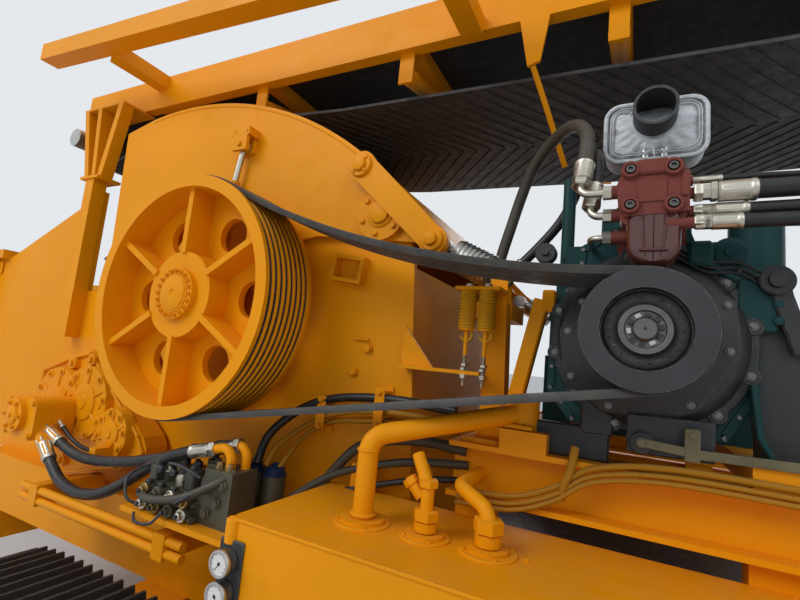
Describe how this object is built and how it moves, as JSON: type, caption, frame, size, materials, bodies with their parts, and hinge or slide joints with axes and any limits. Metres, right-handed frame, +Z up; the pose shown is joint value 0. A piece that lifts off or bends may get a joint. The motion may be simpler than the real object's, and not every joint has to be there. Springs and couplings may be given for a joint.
{
  "type": "tracked horizontal grinder",
  "caption": "Track-mounted horizontal wood grinder with infeed trough, belt-driven rotor, swinging hood, transverse engine and a discharge conveyor folded back over the machine.",
  "frame": {"origin": "on the ground under the middle of the machine", "axes": "+X towards the discharge end, +Y towards the radiator side, +Z up"},
  "size_m": [10.7999, 3, 3.3514],
  "materials": {
    "machine_yellow": "gloss",
    "engine_teal": "gloss",
    "dark_metal": "satin",
    "pump_red": "satin",
    "steel": "satin",
    "chrome": "polished",
    "track_steel": "matte",
    "wear_steel": "worn",
    "valve_olive": "satin",
    "belt_rubber": "matte",
    "hose_rubber": "satin",
    "jacket_fabric": "quilted",
    "gauge_face": "gloss"
  },
  "bodies": {
    "chassis": {"bell_housing": "dark_metal", "drive_belts": "belt_rubber", "engine_block": "engine_teal", "engine_subframe": "machine_yellow", "exhaust_pipe": "dark_metal", "fuel_tank": "machine_yellow", "heat_jacket": "jacket_fabric", "hose_a": "hose_rubber", "hose_b": "hose_rubber", "hose_c": "hose_rubber", "hose_p1": "hose_rubber", "hose_p2": "hose_rubber", "hydraulic_pump": "pump_red", "hydraulic_tank": "machine_yellow", "infeed_chain": "wear_steel", "infeed_frame": "machine_yellow", "infeed_gearbox": "machine_yellow", "infeed_motor": "machine_yellow", "infeed_posts": "machine_yellow", "infeed_shafts": "steel", "infeed_trough": "machine_yellow", "lift_pins": "steel", "lower_belt": "belt_rubber", "lower_conveyor": "machine_yellow", "lower_drums": "steel", "main_frame": "machine_yellow", "mill_box": "machine_yellow", "pressure_gauges": "gauge_face", "pump_fittings": "chrome", "pump_hoses": "hose_rubber", "radiator": "dark_metal", "rotor_bearings": "machine_yellow", "screen_basket": "wear_steel", "side_tubes": "machine_yellow", "strut_posts": "machine_yellow", "tank_pipes": "machine_yellow", "track_far": "track_steel", "track_frames": "machine_yellow", "track_near": "track_steel", "track_wheels": "track_steel", "valve_bank": "valve_olive", "valve_shelf": "machine_yellow"},
    "rotor": {"rotor_drum": "wear_steel", "rotor_shaft": "machine_yellow", "rotor_sheave": "machine_yellow", "locking_ring": "machine_yellow"},
    "drive_pulley": {"drive_pulley": "dark_metal"},
    "fan": {"fan": "dark_metal"},
    "hood": {"hood_shell": "machine_yellow", "hood_arms": "machine_yellow", "lift_brackets": "machine_yellow"},
    "feed_roller": {"feed_roller": "wear_steel"},
    "lift_barrels": {"lift_barrels": "machine_yellow"},
    "lift_rods": {"lift_rods": "chrome"},
    "spring_struts": {"spring_struts": "steel"},
    "boom": {"boom_frame": "machine_yellow", "boom_drums": "steel", "boom_belt": "belt_rubber", "boom_rail": "machine_yellow", "boom_rollers": "machine_yellow"}
  },
  "joints": [
    {"name": "rotor_spin", "type": "hinge", "parent": "chassis", "child": "rotor", "pos_m": [-0.5, 0, 1.85], "axis": [0, 1, 0], "continuous": true},
    {"name": "pulley_spin", "type": "hinge", "parent": "chassis", "child": "drive_pulley", "pos_m": [1.1946, 0, 1.795], "axis": [0, 1, 0], "continuous": true},
    {"name": "fan_spin", "type": "hinge", "parent": "chassis", "child": "fan", "pos_m": [1.1946, 0, 1.915], "axis": [0, 1, 0], "continuous": true},
    {"name": "boom_fold", "type": "hinge", "parent": "chassis", "child": "boom", "pos_m": [5.3, 0, 2.9], "axis": [0, 1, 0], "range_deg": [0, 146]},
    {"name": "hood_lift", "type": "hinge", "parent": "chassis", "child": "hood", "pos_m": [0.257, 0, 2.238], "axis": [0, 1, 0], "range_deg": [0, 22]},
    {"name": "feed_roller_spin", "type": "hinge", "parent": "hood", "child": "feed_roller", "pos_m": [-1.36, 0, 2.11], "axis": [0, 1, 0], "continuous": true},
    {"name": "lift_barrel_swing", "type": "hinge", "parent": "chassis", "child": "lift_barrels", "pos_m": [-0.64, 0, 2.02], "axis": [0, 1, 0], "range_deg": [0, 9.42]},
    {"name": "lift_rod_slide", "type": "slide", "parent": "lift_barrels", "child": "lift_rods", "axis": [0.1729, 0, 0.9849], "range_m": [0, 0.312]},
    {"name": "strut_swing", "type": "hinge", "parent": "chassis", "child": "spring_struts", "pos_m": [0.74, 0, 1.995], "axis": [0, -1, 0], "range_deg": [0, 19.87]}
  ],
  "couplings": [
    {"joint": "pulley_spin", "follows": "rotor_spin", "ratio": 3.3467},
    {"joint": "hood_lift", "follows": "boom_fold", "ratio": 0.15068},
    {"joint": "lift_barrel_swing", "follows": "boom_fold", "ratio": 0.064541},
    {"joint": "lift_rod_slide", "follows": "boom_fold", "m_per_rad": 0.12244},
    {"joint": "strut_swing", "follows": "boom_fold", "ratio": 0.13612}
  ]
}
